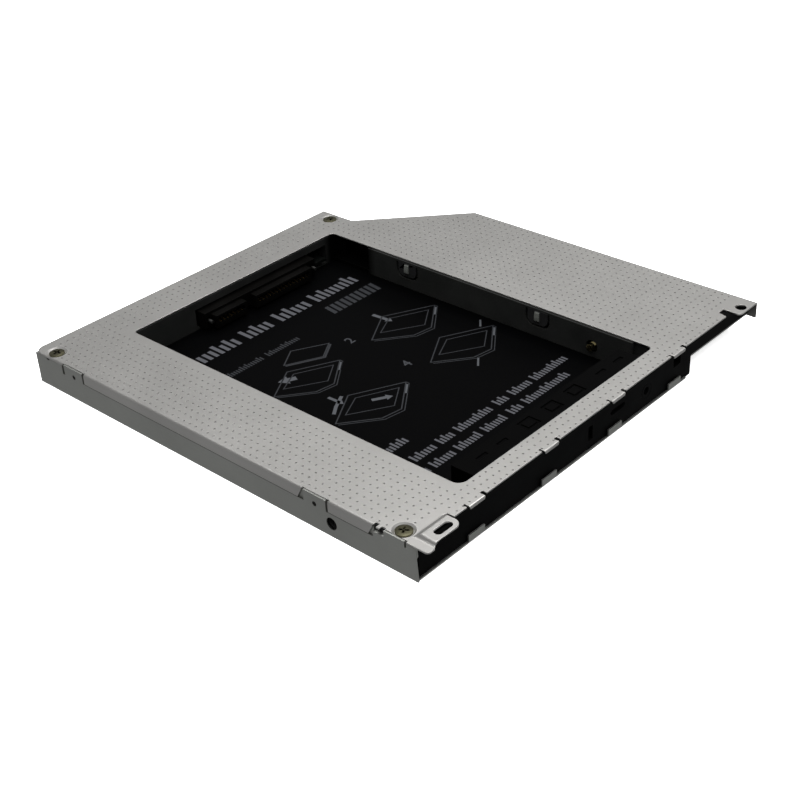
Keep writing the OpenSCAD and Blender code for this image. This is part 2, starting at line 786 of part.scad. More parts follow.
module drive_socket_housing() place() color([0.08, 0.08, 0.09]) {
    front = socket_y[0];
    shoulder = front + 2.2;
    signal_end = signal_x + pitch * (signal_count - 1);
    power_end = power_x + pitch * (power_count - 1);
    wall = 1.6;
    key = 0.8;
    slot_rear = front + 4.4;
    difference() {
        union() {
            block([socket_x[0], shoulder, 1.15], [socket_x[1], socket_y[1], 5.8]);
            // Nose that enters the drive, in a signal and a power part
            block([signal_x - wall, front, 1.3], [signal_end + wall, shoulder + over, 5.0]);
            block([power_x - wall, front, 1.3], [power_end + wall, shoulder + over, 5.0]);
        }
        // Blade slots
        block([signal_x - key, front - over, 3.0], [signal_end + key, slot_rear, 4.3]);
        block([power_x - key, front - over, 3.0], [power_end + key, slot_rear, 4.3]);
        // Contact grooves below the blade slots
        for (i = [0:signal_count - 1]) {
            contact_groove(signal_x + i * pitch);
        }
        for (i = [0:power_count - 1]) {
            contact_groove(power_x + i * pitch);
        }
        // Slot that straddles the board
        block([socket_x[0] + 1.2, board_front_y - 0.1, board_z - gap],
              [socket_x[1] - 1.2, socket_y[1] + over, board_top + 0.35]);
        // Guide hollows at both ends of the shoulder
        for (x = [socket_x[0] + 0.6, socket_x[1] - 1.8]) {
            block([x, shoulder - over, 2.4], [x + 1.2, shoulder + 1.2, 4.4]);
        }
    }
}

module contact_groove(x) {
    half = contact_w / 2 + 0.06;
    block([x - half, socket_y[0] - over, 2.5], [x + half, board_front_y, 3.1]);
}

// Spring contact: blade in the groove, then a tail that lies on the board.
module socket_contact(x) {
    half = contact_w / 2;
    along_x(x - half, contact_w, [
        [socket_y[0] + 0.3, 2.62], [socket_y[0] + 1.6, 2.95], [board_front_y - 0.3, 3.05],
        [board_front_y - 0.1, board_top + 0.02], [socket_y[1] + 0.9, board_top + 0.02],
        [socket_y[1] + 0.9, board_top + 0.2], [board_front_y - 0.4, board_top + 0.25],
        [socket_y[0] + 1.6, 3.15], [socket_y[0] + 0.3, 2.82]
    ]);
}

module drive_socket_signal_contacts() place() color([0.85, 0.7, 0.35])
    for (i = [0:signal_count - 1]) {
        socket_contact(signal_x + i * pitch);
    }

module drive_socket_power_contacts() place() color([0.85, 0.7, 0.35])
    for (i = [0:power_count - 1]) {
        socket_contact(power_x + i * pitch);
    }

// Round metal guide noses at the ends of the socket.
module drive_socket_hold_downs() place() color([0.8, 0.8, 0.78])
    for (x = [socket_x[0] + 1.2, socket_x[1] - 1.2]) {
        rod_y([x, socket_y[0] + 0.7, 3.4], 0.5, 2.6);
    }

// ---- Host plug ----

module host_plug_housing() place() color([0.1, 0.1, 0.11]) {
    tongue_z = [4.6, 5.7];
    tongue_y = [plug_y[0], plug_y[1] - 0.8];
    signal_span = [plug_signal_x - 0.8, plug_signal_x + pitch * (signal_count - 1) + 0.7];
    power_span = [plug_power_x - 0.7, plug_power_x + narrow_pitch * (host_power_count - 1) + 0.7];
    difference() {
        block([plug_x[0], plug_y[0], board_top + 0.02], [plug_x[1], plug_y[1], 7.2]);
        // Mouth around the contact tongue, which a key slot splits in two
        difference() {
            block([plug_x[0] + 1.6, plug_y[0] + 2.2, board_top + 0.7],
                  [plug_x[1] - 1.6, plug_y[1] + over, 6.6]);
            for (span = [signal_span, power_span]) {
                block([span[0], tongue_y[0], tongue_z[0]], [span[1], tongue_y[1], tongue_z[1]]);
            }
        }
        // Grooves for the contacts on the tongue and their way out at the back
        for (i = [0:signal_count - 1]) {
            plug_groove(plug_signal_x + i * pitch);
        }
        for (i = [0:host_power_count - 1]) {
            plug_groove(plug_power_x + i * narrow_pitch);
        }
    }
}

module plug_groove(x) {
    half = contact_w / 2 + 0.03;
    block([x - half, plug_y[0] - over, 4.4], [x + half, plug_y[1] - 1.1, 4.85]);
    block([x - half, plug_y[0] - over, board_top - 0.1], [x + half, plug_y[0] + 0.3, 4.85]);
}

module plug_contact(x) {
    half = contact_w / 2;
    blade_z = [4.62, 4.82];
    tail_z = [board_top + 0.02, board_top + 0.2];
    rear = plug_y[1] - 1.15;
    tail_y = plug_y[0] - 1.5;
    riser_y = [plug_y[0] + 0.02, plug_y[0] + 0.26];
    along_x(x - half, contact_w, [
        [rear, blade_z[0]], [rear, blade_z[1]], [riser_y[0], blade_z[1]], [riser_y[0], tail_z[1]],
        [tail_y, tail_z[1]], [tail_y, tail_z[0]], [riser_y[1], tail_z[0]], [riser_y[1], blade_z[0]]
    ]);
}

module host_plug_signal_contacts() place() color([0.85, 0.7, 0.35])
    for (i = [0:signal_count - 1]) {
        plug_contact(plug_signal_x + i * pitch);
    }

module host_plug_power_contacts() place() color([0.85, 0.7, 0.35])
    for (i = [0:host_power_count - 1]) {
        plug_contact(plug_power_x + i * narrow_pitch);
    }

// Solder tabs beside the plug.
module host_plug_hold_downs() place() color([0.8, 0.8, 0.78])
    for (side = [[plug_x[0] - 1.2, plug_x[0] - 0.02], [plug_x[1] + 0.02, plug_x[1] + 1.2]]) {
        block([side[0], plug_y[0] + 2.0, board_top + 0.02], [side[1], plug_y[0] + 4.6, board_top + 0.3]);
    }

// ---- Cover screws ----

module cover_screws() place() color([0.6, 0.56, 0.45]) {
    head_h = 0.5;
    recess_arm = 1.15;
    head_top = body_h - dish_depth + head_h;
    head_low = body_h - dish_depth + 0.02;
    for (p = cover_screw_places) {
        translate([p.x, p.y, head_top]) cross_head(head_r, head_top - head_low, recess_arm);
        rod_z([p.x, p.y, head_low - shank_l], shank_r, shank_l + 0.02);
    }
}

top_cover();
bottom_cover();
bay_frame();
end_bar();
spring_finger_front();
spring_finger_rear();
lock_screw_left();
lock_screw_right();
lock_screw_inserts();
label_film();
adapter_board();
board_screws();
drive_socket_housing();
drive_socket_signal_contacts();
drive_socket_power_contacts();
drive_socket_hold_downs();
host_plug_housing();
host_plug_signal_contacts();
host_plug_power_contacts();
host_plug_hold_downs();
board_capacitors();
board_resistors();
cover_screws();
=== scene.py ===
"""Looks of a laptop drive bay caddy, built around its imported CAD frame.

Shapes are laid out in millimetres in the corner frame: X across from the left side wall, Y from
the bezel side to the connector side, Z up from the underside. at() turns them into the row frame.
"""

import math

import bmesh
import bpy
from mathutils import Matrix, Vector


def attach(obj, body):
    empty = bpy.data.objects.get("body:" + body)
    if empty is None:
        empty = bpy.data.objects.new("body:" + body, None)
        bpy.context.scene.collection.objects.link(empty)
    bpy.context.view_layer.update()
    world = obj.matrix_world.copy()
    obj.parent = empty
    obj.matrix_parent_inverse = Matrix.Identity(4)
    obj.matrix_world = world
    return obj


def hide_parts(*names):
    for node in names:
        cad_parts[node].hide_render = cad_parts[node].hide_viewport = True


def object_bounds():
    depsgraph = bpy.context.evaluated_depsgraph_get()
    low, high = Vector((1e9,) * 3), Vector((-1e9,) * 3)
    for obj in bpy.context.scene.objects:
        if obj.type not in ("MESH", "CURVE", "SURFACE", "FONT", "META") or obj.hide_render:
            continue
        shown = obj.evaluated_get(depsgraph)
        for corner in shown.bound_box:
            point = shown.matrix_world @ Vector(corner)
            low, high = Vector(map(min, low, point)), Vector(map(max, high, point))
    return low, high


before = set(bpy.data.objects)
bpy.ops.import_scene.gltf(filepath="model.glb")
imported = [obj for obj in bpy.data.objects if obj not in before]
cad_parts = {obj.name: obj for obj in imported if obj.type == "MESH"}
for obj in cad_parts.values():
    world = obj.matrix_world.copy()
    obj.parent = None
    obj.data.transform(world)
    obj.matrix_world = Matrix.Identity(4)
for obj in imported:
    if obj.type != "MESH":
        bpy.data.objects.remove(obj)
CAD_LOW, CAD_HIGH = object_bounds()

MM = 0.001
# The tongue at the front left corner reaches this far in front of the corner frame's origin.
TONGUE_REACH = 3.0
CORNER = Vector((CAD_LOW.x, CAD_LOW.y + TONGUE_REACH * MM, CAD_LOW.z))


def at(x, y, z):
    """Point of the corner frame, in millimetres, as a point of the row frame, in metres."""
    return CORNER + Vector((x, y, z)) * MM


# ---- Layout in the corner frame, in millimetres ----

BODY_W, BODY_D = 128.0, 127.0
TOP_Z = 8.8
# The rear right corner of the body is stepped in to this X, behind this Y.
STEP_X, STEP_Y = 102.7, 115.5
# From there the corner is cut off at 45 degrees, down to this Y at the right side.
DIAGONAL_Y = STEP_Y - (BODY_W - STEP_X)
WINDOW_LOW, WINDOW_HIGH = (21.3, 6.7), (93.2, 114.2)
BAY_RIGHT = 92.6
COVER_SCREWS = ((2.8, 5.8), (2.8, 121.4), (99.7, 121.5))
# Centre and reach of the open corner of the bay, where the plastic gets a painted shade.
BAY_CORNER_PAINTED_SHADE = ((95.0, 107.5, 4.0), (7.0, 11.0, 400.0))
# Centre and reach of the inner face of the right ear's flange, which gets a painted shade.
EAR_FLANGE_PAINTED_SHADE = ((127.5, 64.0, 4.4), (0.3, 400.0, 5.0))


# ---- Camera, floor and lights ----

CAMERA_PLACE = (-155.78, -146.36, 177.07)
CAMERA_YAW, CAMERA_PITCH, CAMERA_ROLL = 0.809, 0.5599, -0.0553
CAMERA_LENS = 62.29


def make_camera():
    """Camera at the photograph's viewing angle."""
    level = Vector((math.cos(CAMERA_YAW), -math.sin(CAMERA_YAW), 0))
    forward = Vector((
        math.sin(CAMERA_YAW) * math.cos(CAMERA_PITCH),
        math.cos(CAMERA_YAW) * math.cos(CAMERA_PITCH),
        -math.sin(CAMERA_PITCH),
    ))
    up = level.cross(forward)
    right = math.cos(CAMERA_ROLL) * level + math.sin(CAMERA_ROLL) * up
    top = math.cos(CAMERA_ROLL) * up - math.sin(CAMERA_ROLL) * level
    data = bpy.data.cameras.new("camera")
    data.lens = CAMERA_LENS
    data.sensor_width = 36
    data.clip_start, data.clip_end = 0.01, 20
    camera = bpy.data.objects.new("camera", data)
    turn = Matrix((right, top, -forward)).transposed().to_4x4()
    camera.matrix_world = Matrix.Translation(at(*CAMERA_PLACE)) @ turn
    bpy.context.scene.collection.objects.link(camera)
    bpy.context.scene.camera = camera


def make_floor():
    """Plain pale floor under the part."""
    half_width = 12.0
    bm = bmesh.new()
    bmesh.ops.create_grid(bm, x_segments=2, y_segments=2, size=half_width)
    floor = new_object("floor", bm, floor_material())
    floor.location.z = CAD_LOW.z - 0.05 * MM
    floor.visible_glossy = False
    floor.visible_diffuse = False


def area_light(name, place, size, power):
    """Square light, in metres and watts, that faces the part."""
    data = bpy.data.lights.new(name, "AREA")
    data.shape = "SQUARE"
    data.size = size
    data.energy = power
    light = bpy.data.objects.new(name, data)
    light.location = place
    light.rotation_mode = "QUATERNION"
    light.rotation_quaternion = (-Vector(place)).to_track_quat("-Z", "Y")
    bpy.context.scene.collection.objects.link(light)
    return light


def make_lights():
    """Wide soft light overhead and dim surroundings."""
    area_light("overhead", (1.0, 0.45, 2.9), size=1.8, power=55)
    fill = area_light("fill", (-0.3, -0.3, 3.0), size=5.0, power=330)
    fill.visible_glossy = False
    world = bpy.data.worlds.new("studio")
    world.use_nodes = True
    background = world.node_tree.nodes["Background"]
    background.inputs["Color"].default_value = (0.98, 0.99, 1.0, 1)
    background.inputs["Strength"].default_value = 0.3
    bpy.context.scene.world = world
    bpy.context.scene.view_settings.view_transform = "Standard"


# ---- Meshes ----


def new_object(name, bm, material):
    """Object from a bmesh in the row frame."""
    mesh = bpy.data.meshes.new(name)
    bm.to_mesh(mesh)
    bm.free()
    obj = bpy.data.objects.new(name, mesh)
    bpy.context.scene.collection.objects.link(obj)
    mesh.materials.append(material)
    return obj


def new_piece(name, bm, material, body):
    """Object that rides on a CAD body, in the given material."""
    obj = new_object(name, bm, material)
    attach(obj, body)
    return obj


def shade_by_angle(obj, degrees):
    """Smooth shading, with edges sharper than the angle kept crisp."""
    for face in obj.data.polygons:
        face.use_smooth = True
    obj.data.set_sharp_from_angle(angle=math.radians(degrees))


def loft(bm, rings):
    """Closed skin through rings of points, each ring a loop of the same length."""
    loops = [[bm.verts.new(p) for p in ring] for ring in rings]
    for low, high in zip(loops, loops[1:]):
        for i in range(len(low)):
            j = (i + 1) % len(low)
            bm.faces.new((low[i], low[j], high[j], high[i]))
    bm.faces.new(list(reversed(loops[0])))
    bm.faces.new(loops[-1])


def circle(centre, r, z, sides):
    """Ring of points round an upright axis, in the row frame."""
    return [
        at(
            centre[0] + r * math.cos(2 * math.pi * i / sides),
            centre[1] + r * math.sin(2 * math.pi * i / sides),
            z,
        )
        for i in range(sides)
    ]


def prism(bm, outline, low, high):
    """Upright prism on an outline of XY points, given anticlockwise."""
    loft(bm, [[at(x, y, z) for x, y in outline] for z in (low, high)])


def cut(obj, tool):
    """Takes the tool's shape out of the object and removes the tool."""
    change = obj.modifiers.new("cut", "BOOLEAN")
    change.operation = "DIFFERENCE"
    change.solver = "MANIFOLD"
    change.object = tool
    graph = bpy.context.evaluated_depsgraph_get()
    mesh = bpy.data.meshes.new_from_object(obj.evaluated_get(graph))
    obj.modifiers.clear()
    old = obj.data
    obj.data = mesh
    mesh.name = old.name
    bpy.data.meshes.remove(old)
    bpy.data.objects.remove(tool)


# ---- Materials ----


class Nodes:
    """Small helper that builds one material's node tree in object coordinates."""

    def __init__(self, name):
        self.material = bpy.data.materials.new(name)
        self.material.use_nodes = True
        self.tree = self.material.node_tree
        self.shader = self.tree.nodes["Principled BSDF"]
        self.place = self.tree.nodes.new("ShaderNodeTexCoord").outputs["Object"]

    def link(self, source, target):
        self.tree.links.new(source, target)

    def node(self, kind, **inputs):
        node = self.tree.nodes.new(kind)
        for key, value in inputs.items():
            node.inputs[key].default_value = value
        return node

    def noise(self, size_mm, detail=3.0, rough=0.5, stretch=(1, 1, 1)):
        """Noise with features of about size_mm, drawn out along an axis by stretch."""
        place = self.node("ShaderNodeMapping")
        place.inputs["Scale"].default_value = [1 / (size_mm * MM * s) for s in stretch]
        self.link(self.place, place.inputs["Vector"])
        noise = self.node("ShaderNodeTexNoise", Scale=1.0, Detail=detail, Roughness=rough)
        self.link(place.outputs["Vector"], noise.inputs["Vector"])
        return noise.outputs["Fac"]

    def ramp(self, source, low, high, start=0.3, end=0.7):
        """Blend between two colours over a span of the source."""
        ramp = self.node("ShaderNodeValToRGB")
        ramp.color_ramp.elements[0].position = start
        ramp.color_ramp.elements[0].color = (*low, 1)
        ramp.color_ramp.elements[1].position = end
        ramp.color_ramp.elements[1].color = (*high, 1)
        self.link(source, ramp.inputs["Fac"])
        return ramp.outputs["Color"]

    def rescale(self, source, start, end, low=0.0, high=1.0):
        """Source rescaled from start..end to low..high, and held at both ends."""
        scale = self.node("ShaderNodeMapRange")
        for key, value in zip(("From Min", "From Max", "To Min", "To Max"), (start, end, low, high)):
            scale.inputs[key].default_value = value
        self.link(source, scale.inputs["Value"])
        return scale.outputs["Result"]

    def span(self, noise, low, high):
        """Noise, most of which lies in 0.3..0.7, rescaled to low..high."""
        return self.rescale(noise, 0.3, 0.7, low, high)

    def axis(self, letter):
        """Place along one axis of the object."""
        place = self.node("ShaderNodeSeparateXYZ")
        self.link(self.place, place.inputs["Vector"])
        return place.outputs[letter]

    def zone(self, centre, reach):
        """1 well inside an ellipsoid with its centre and reach in millimetres, fading to 0 at its edge."""
        scale = [1 / (r * MM) for r in reach]
        place = self.node("ShaderNodeMapping")
        place.inputs["Scale"].default_value = scale
        place.inputs["Location"].default_value = [-m * k for m, k in zip(at(*centre), scale)]
        self.link(self.place, place.inputs["Vector"])
        ball = self.node("ShaderNodeTexGradient")
        ball.gradient_type = "SPHERICAL"
        self.link(place.outputs["Vector"], ball.inputs["Vector"])
        return self.rescale(ball.outputs["Fac"], 0.0, 0.25)

    def mix(self, amount, low, high):
        """Blend from the colour low to the colour high, each a socket or a plain colour."""
        mix = self.node("ShaderNodeMix")
        mix.data_type = "RGBA"
        self.link(amount, mix.inputs[0])
        for socket, colour in ((mix.inputs[6], low), (mix.inputs[7], high)):
            if isinstance(colour, tuple):
                socket.default_value = (*colour, 1)
            else:
                self.link(colour, socket)
        return mix.outputs[2]

    def bump(self, source, height_mm, strength):
        bump = self.node("ShaderNodeBump", Strength=strength, Distance=height_mm * MM)
        self.link(source, bump.inputs["Height"])
        return bump.outputs["Normal"]

    def finish(self, colour, roughness, normal, metallic=0.0, specular=0.5):
        """Joins the shader's inputs. The specular level is a number or a socket."""
        self.link(colour, self.shader.inputs["Base Color"])
        self.link(roughness, self.shader.inputs["Roughness"])
        self.link(normal, self.shader.inputs["Normal"])
        self.shader.inputs["Metallic"].default_value = metallic
        if isinstance(specular, float):
            self.shader.inputs["Specular IOR Level"].default_value = specular
        else:
            self.link(specular, self.shader.inputs["Specular IOR Level"])
        return self.material


def sheet_material(name, tone, roughness, stretch, painted_shade_zones=(), bright=()):
    """Satin metal sheet: rolled grain and faint cloudy patches, with zones of painted shade and of painted
    highlight.
    """
    n = Nodes(name)
    grain = n.noise(0.12, 2.0, 0.6, stretch)
    patch = n.noise(22.0, 4.0, 0.55)
    colour = n.ramp(patch, [c * 0.93 for c in tone], [c * 1.05 for c in tone])
    # Painted shade: inside these zones the colour drops to 0.3 of the tone.
    for place in painted_shade_zones:
        colour = n.mix(n.zone(*place), colour, tuple(c * 0.3 for c in tone))
    # Painted highlight: inside the bright zones the colour rises to 1.5 times the tone.
    for place in bright:
        colour = n.mix(n.zone(*place), colour, tuple(c * 1.5 for c in tone))
    rough = n.span(grain, roughness - 0.05, roughness + 0.06)
    normal = n.bump(grain, 0.004, 0.35)
    return n.finish(colour, rough, normal, metallic=1.0)


def dimple_painted_shade_material(tone):
    """Dark matte grey inside each dimple, a painted shade of the pits."""
    n = Nodes("dimple_painted_shade")
    mark = n.noise(0.1, 2.0, 0.6)
    colour = n.ramp(mark, [c * 0.85 for c in tone], tone)
    rough = n.span(mark, 0.75, 0.9)
    normal = n.bump(mark, 0.003, 0.4)
    return n.finish(colour, rough, normal, specular=0.1)


def plastic_material(name, tone, roughness, grain_mm, height_mm, specular):
    """Moulded plastic with a fine spark-eroded grain."""
    n = Nodes(name)
    grain = n.noise(grain_mm, 4.0, 0.6)
    patch = n.noise(9.0, 3.0, 0.5)
    colour = n.ramp(patch, [c * 0.8 for c in tone], [c * 1.25 for c in tone])
    rough = n.span(patch, roughness - 0.06, roughness + 0.06)
    normal = n.bump(grain, height_mm, 0.6)
    return n.finish(colour, rough, normal, specular=specular)


def frame_material():
    """Eroded black plastic in the bay; the front face is darker, a painted shade, with a lower specular
    level, and the bay's open corner has a painted shade.
    """
    n = Nodes("moulded_black")
    grain = n.noise(0.25, 4.0, 0.6)
    patch = n.noise(9.0, 3.0, 0.5)
    inward = n.rescale(n.axis("Y"), at(0, 4.0, 0).y, at(0, 5.5, 0).y)
    front_painted_shade, corner_painted_shade = (0.0012, 0.0012, 0.0012), (0.0004, 0.0004, 0.0004)
    eroded = n.ramp(patch, (0.008, 0.0082, 0.0079), (0.0125, 0.0127, 0.0122))
    # Painted shade: the front face's colour is much darker than the eroded plastic behind it.
    colour = n.mix(inward, front_painted_shade, eroded)
    # Painted shade: the colour sinks to near black towards the bay's open corner.
    colour = n.mix(n.zone(*BAY_CORNER_PAINTED_SHADE), colour, corner_painted_shade)
    rough = n.span(patch, 0.44, 0.56)
    normal = n.bump(grain, 0.012, 0.6)
    return n.finish(colour, rough, normal, specular=n.rescale(inward, 0.0, 1.0, 0.03, 0.1))


def finger_material():
    """Fairly glossy black plastic of the spring fingers, with a painted highlight on the nose."""
    n = Nodes("finger_black")
    grain = n.noise(0.4, 4.0, 0.6)
    patch = n.noise(9.0, 3.0, 0.5)
    # The nose is what stands out of the wall, towards the left.
    nose = n.rescale(n.axis("X"), at(BAY_RIGHT - 0.02, 0, 0).x, at(BAY_RIGHT - 0.3, 0, 0).x)
    plain = n.ramp(patch, (0.009, 0.009, 0.0092), (0.014, 0.014, 0.0142))
    # Painted highlight: the nose's colour is several times lighter than the rest of the finger.
    colour = n.mix(nose, plain, (0.07, 0.073, 0.067))
    rough = n.span(patch, 0.26, 0.36)
    normal = n.bump(grain, 0.004, 0.6)
    return n.finish(colour, rough, normal, specular=0.3)


def plated_material(name, tone, roughness, grain_mm=0.25):
    """Plated or bare metal on a small part: faint tarnish and fine tool marks."""
    n = Nodes(name)
    marks = n.noise(grain_mm, 3.0, 0.6)
    tarnish = n.noise(1.4, 3.0, 0.6)
    colour = n.ramp(tarnish, [c * 0.82 for c in tone], [c * 1.08 for c in tone])
    rough = n.span(tarnish, roughness - 0.08, roughness + 0.1)
    normal = n.bump(marks, 0.003, 0.4)
    return n.finish(colour, rough, normal, metallic=1.0)


def film_material():
    """Black polyester label film, slightly uneven where it sticks to the tray."""
    n = Nodes("label_film_black")
    wave = n.noise(14.0, 2.0, 0.4)
    dust = n.noise(0.3, 2.0, 0.7)
    colour = n.ramp(dust, (0.0004, 0.0004, 0.00045), (0.0009, 0.0009, 0.001), 0.45, 0.8)
    rough = n.span(wave, 0.34, 0.42)
    normal = n.bump(wave, 0.02, 0.25)
    return n.finish(colour, rough, normal, specular=0.018)


def ink_material(name, tone):
    """Screen-printed ink with slightly uneven cover."""
    n = Nodes(name)
    cover = n.noise(0.35, 3.0, 0.6)
    colour = n.ramp(cover, [c * 0.8 for c in tone], tone, 0.25, 0.55)
    rough = n.span(cover, 0.5, 0.62)
    normal = n.bump(cover, 0.003, 0.5)
    return n.finish(colour, rough, normal, specular=0.3)


def board_material():
    """Solder mask with darker copper routing showing through it."""
    n = Nodes("solder_mask_black")
    place = n.node("ShaderNodeMapping")
    place.inputs["Scale"].default_value = (1 / (1.27 * MM), 1 / (4.0 * MM), 1)
    n.link(n.place, place.inputs["Vector"])
    tracks = n.node("ShaderNodeTexBrick", Scale=1.0)
    tracks.inputs["Color1"].default_value = (0.003, 0.0034, 0.0032, 1)
    tracks.inputs["Color2"].default_value = (0.0045, 0.005, 0.0047, 1)
    tracks.inputs["Mortar"].default_value = (0.002, 0.0023, 0.0021, 1)
    tracks.inputs["Mortar Size"].default_value = 0.12
    n.link(place.outputs["Vector"], tracks.inputs["Vector"])
    weave = n.noise(0.5, 2.0, 0.5)
    rough = n.span(weave, 0.28, 0.4)
    normal = n.bump(tracks.outputs["Fac"], 0.02, 0.6)
    return n.finish(tracks.outputs["Color"], rough, normal, specular=0.15)


def ceramic_material(name, tone):
    """Fired ceramic body of a chip part, with a fine speckle."""
    n = Nodes(name)
    speckle = n.noise(0.08, 3.0, 0.7)
    colour = n.ramp(speckle, [c * 0.8 for c in tone], tone)
    rough = n.span(speckle, 0.45, 0.6)
    normal = n.bump(speckle, 0.004, 0.4)
    return n.finish(colour, rough, normal, specular=0.5)


def floor_material():
    """Matte pale studio floor."""
    n = Nodes("floor_pale")
    n.shader.inputs["Base Color"].default_value = (0.93, 0.93, 0.93, 1)
    n.shader.inputs["Roughness"].default_value = 0.9
    n.shader.inputs["Specular IOR Level"].default_value = 0.1
    n.shader.inputs["Emission Color"].default_value = (1, 1, 1, 1)
    n.shader.inputs["Emission Strength"].default_value = 0.6
    return n.material


def make_materials():
    """Every finish, by the name that the pieces use."""
    dish_r, dish_z = 2.95, TOP_Z - 0.3
    # Painted highlight: the top sheet is lighter over each screw's dish.
    dish_painted_highlights = [((x, y, dish_z), (dish_r, dish_r, dish_r)) for x, y in COVER_SCREWS]
    top_tone, tray_tone = (0.54, 0.53, 0.51), (0.43, 0.435, 0.41)
    even, along_y = (1, 1, 1), (1, 14, 1)
    return {
        # The top sheet takes a painted shade on the ear flange's inner face and a painted highlight over
        # the screw dishes.
        "top": sheet_material("sheet_metal_top", top_tone, 0.42, even, [EAR_FLANGE_PAINTED_SHADE], dish_painted_highlights),
        "dimple": dimple_painted_shade_material((0.14, 0.14, 0.133)),
        "tray": sheet_material("sheet_metal_tray", tray_tone, 0.45, along_y),
        "frame": frame_material(),
        "bar": plastic_material("bar_black", (0.0005, 0.0005, 0.0005), 0.5, 0.3, 0.01, 0.02),
        "finger": finger_material(),
        "socket": plastic_material("socket_black", (0.0012, 0.0011, 0.001), 0.4, 0.2, 0.006, 0.04),
        "plug": plastic_material("plug_black", (0.014, 0.014, 0.015), 0.4, 0.2, 0.006, 0.4),
        "film": film_material(),
        "ink": ink_material("print_white", (0.037, 0.038, 0.043)),
        "ink_mid": ink_material("print_light_grey", (0.033, 0.035, 0.039)),
        "ink_dim": ink_material("print_grey", (0.0078, 0.0086, 0.0104)),
        "ink_number": ink_material("print_number", (0.017, 0.018, 0.021)),
        "brass": plated_material("brass", (0.42, 0.35, 0.17), 0.16),
        # Painted shade: the inserts' brass is near black, for the shade in the bore round each lock
        # screw's tip.
        "brass_dark": plated_material("brass_near_black", (0.015, 0.012, 0.006), 0.6),
        "nickel": plated_material("dull_nickel", (0.1, 0.095, 0.06), 0.4),
        "steel": plated_material("screw_steel", (0.5, 0.49, 0.46), 0.32),
        "gold": plated_material("contact_gold", (0.75, 0.55, 0.22), 0.25, 0.15),
        "gold_worn": plated_material("contact_gold_worn", (0.2, 0.14, 0.06), 0.5, 0.15),
        "tin": plated_material("tinned", (0.07, 0.07, 0.068), 0.6, 0.2),
        "board": board_material(),
        "capacitor": ceramic_material("capacitor_tan", (0.33, 0.22, 0.12)),
        "resistor": ceramic_material("resistor_black", (0.02, 0.02, 0.022)),
    }


# ---- CAD nodes that stay ----

# Material and edge rounding in millimetres of each CAD node that is shown as it is.
KEPT_NODES = {
    "bottom_cover": ("tray", 0.07),
    "bay_frame": ("frame", 0.1),
    "end_bar": ("bar", 0.12),
    "spring_finger_front": ("finger", 0.15),
    "spring_finger_rear": ("finger", 0.15),
    "lock_screw_left": ("brass", 0.04),
    "lock_screw_right": ("brass", 0.04),
    "lock_screw_inserts": ("brass_dark", 0.05),
    "label_film": ("film", 0.02),
    "adapter_board": ("board", 0.03),
    "board_screws": ("steel", 0.04),
    "drive_socket_housing": ("socket", 0.08),
    "drive_socket_signal_contacts": ("gold_worn", 0.03),
    "drive_socket_power_contacts": ("gold_worn", 0.03),
    "drive_socket_hold_downs": ("tin", 0.12),
    "host_plug_housing": ("plug", 0.06),
    "host_plug_signal_contacts": ("gold", 0.03),
    "host_plug_power_contacts": ("gold", 0.03),
    "host_plug_hold_downs": ("tin", 0.05),
    "board_capacitors": ("capacitor", 0.06),
    "board_resistors": ("resistor", 0.04),
}


def soften_edges(obj, width_mm):
    """Joins the imported faces, flattens coplanar ones and rounds the sharp edges."""
    weld = obj.modifiers.new("weld", "WELD")
    weld.merge_threshold = 0.002 * MM
    flat = obj.modifiers.new("flat", "DECIMATE")
    flat.decimate_type = "DISSOLVE"
    flat.angle_limit = math.radians(1)
    edge = obj.modifiers.new("edge", "BEVEL")
    edge.width = width_mm * MM
    edge.segments = 2
    edge.limit_method = "ANGLE"
    edge.angle_limit = math.radians(40)
    edge.harden_normals = True


def dress_kept_nodes(materials):
    for name, (material, width_mm) in KEPT_NODES.items():
        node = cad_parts[name]
        node.data.materials.clear()
        node.data.materials.append(materials[material])
        soften_edges(node, width_mm)


# ---- Top cover ----

DIMPLE_PITCH = (2.04, 2.008)
DIMPLE_START = (1.85, 1.55)
DIMPLE_R = 0.27
# Widths left free of dimples: at the outer edges, beside, before and behind the window, at the
# stepped corner and around each screw.
EDGE_FREE = 1.5
WINDOW_SIDE_FREE, WINDOW_FRONT_FREE, WINDOW_REAR_FREE = 1.1, 0.9, 1.9
STEP_FREE = 1.4
CHAMFER_FREE = 2.4
SCREW_FREE = 2.95
# The ears' roots are plain: up to this X and Y on the left, from this X up to this Y on the right.
LEFT_EAR_PLAIN, RIGHT_EAR_PLAIN = (13.2, 3.6), (115.2, 4.3)


def is_plain(x, y):
    """True where the cover has no dimples."""
    if x > BODY_W - EDGE_FREE or y > BODY_D - EDGE_FREE:
        return True
    beside_window = WINDOW_LOW[0] - WINDOW_SIDE_FREE < x < WINDOW_HIGH[0] + WINDOW_SIDE_FREE
    if beside_window and WINDOW_LOW[1] - WINDOW_FRONT_FREE < y < WINDOW_HIGH[1] + WINDOW_REAR_FREE:
        return True
    if x + y > STEP_X + STEP_Y - CHAMFER_FREE and x > STEP_X - STEP_FREE:
        return True
    if any(math.dist((x, y), screw) < SCREW_FREE for screw in COVER_SCREWS):
        return True
    if x < LEFT_EAR_PLAIN[0] and y < LEFT_EAR_PLAIN[1]:
        return True
    return x > RIGHT_EAR_PLAIN[0] and y < RIGHT_EAR_PLAIN[1]


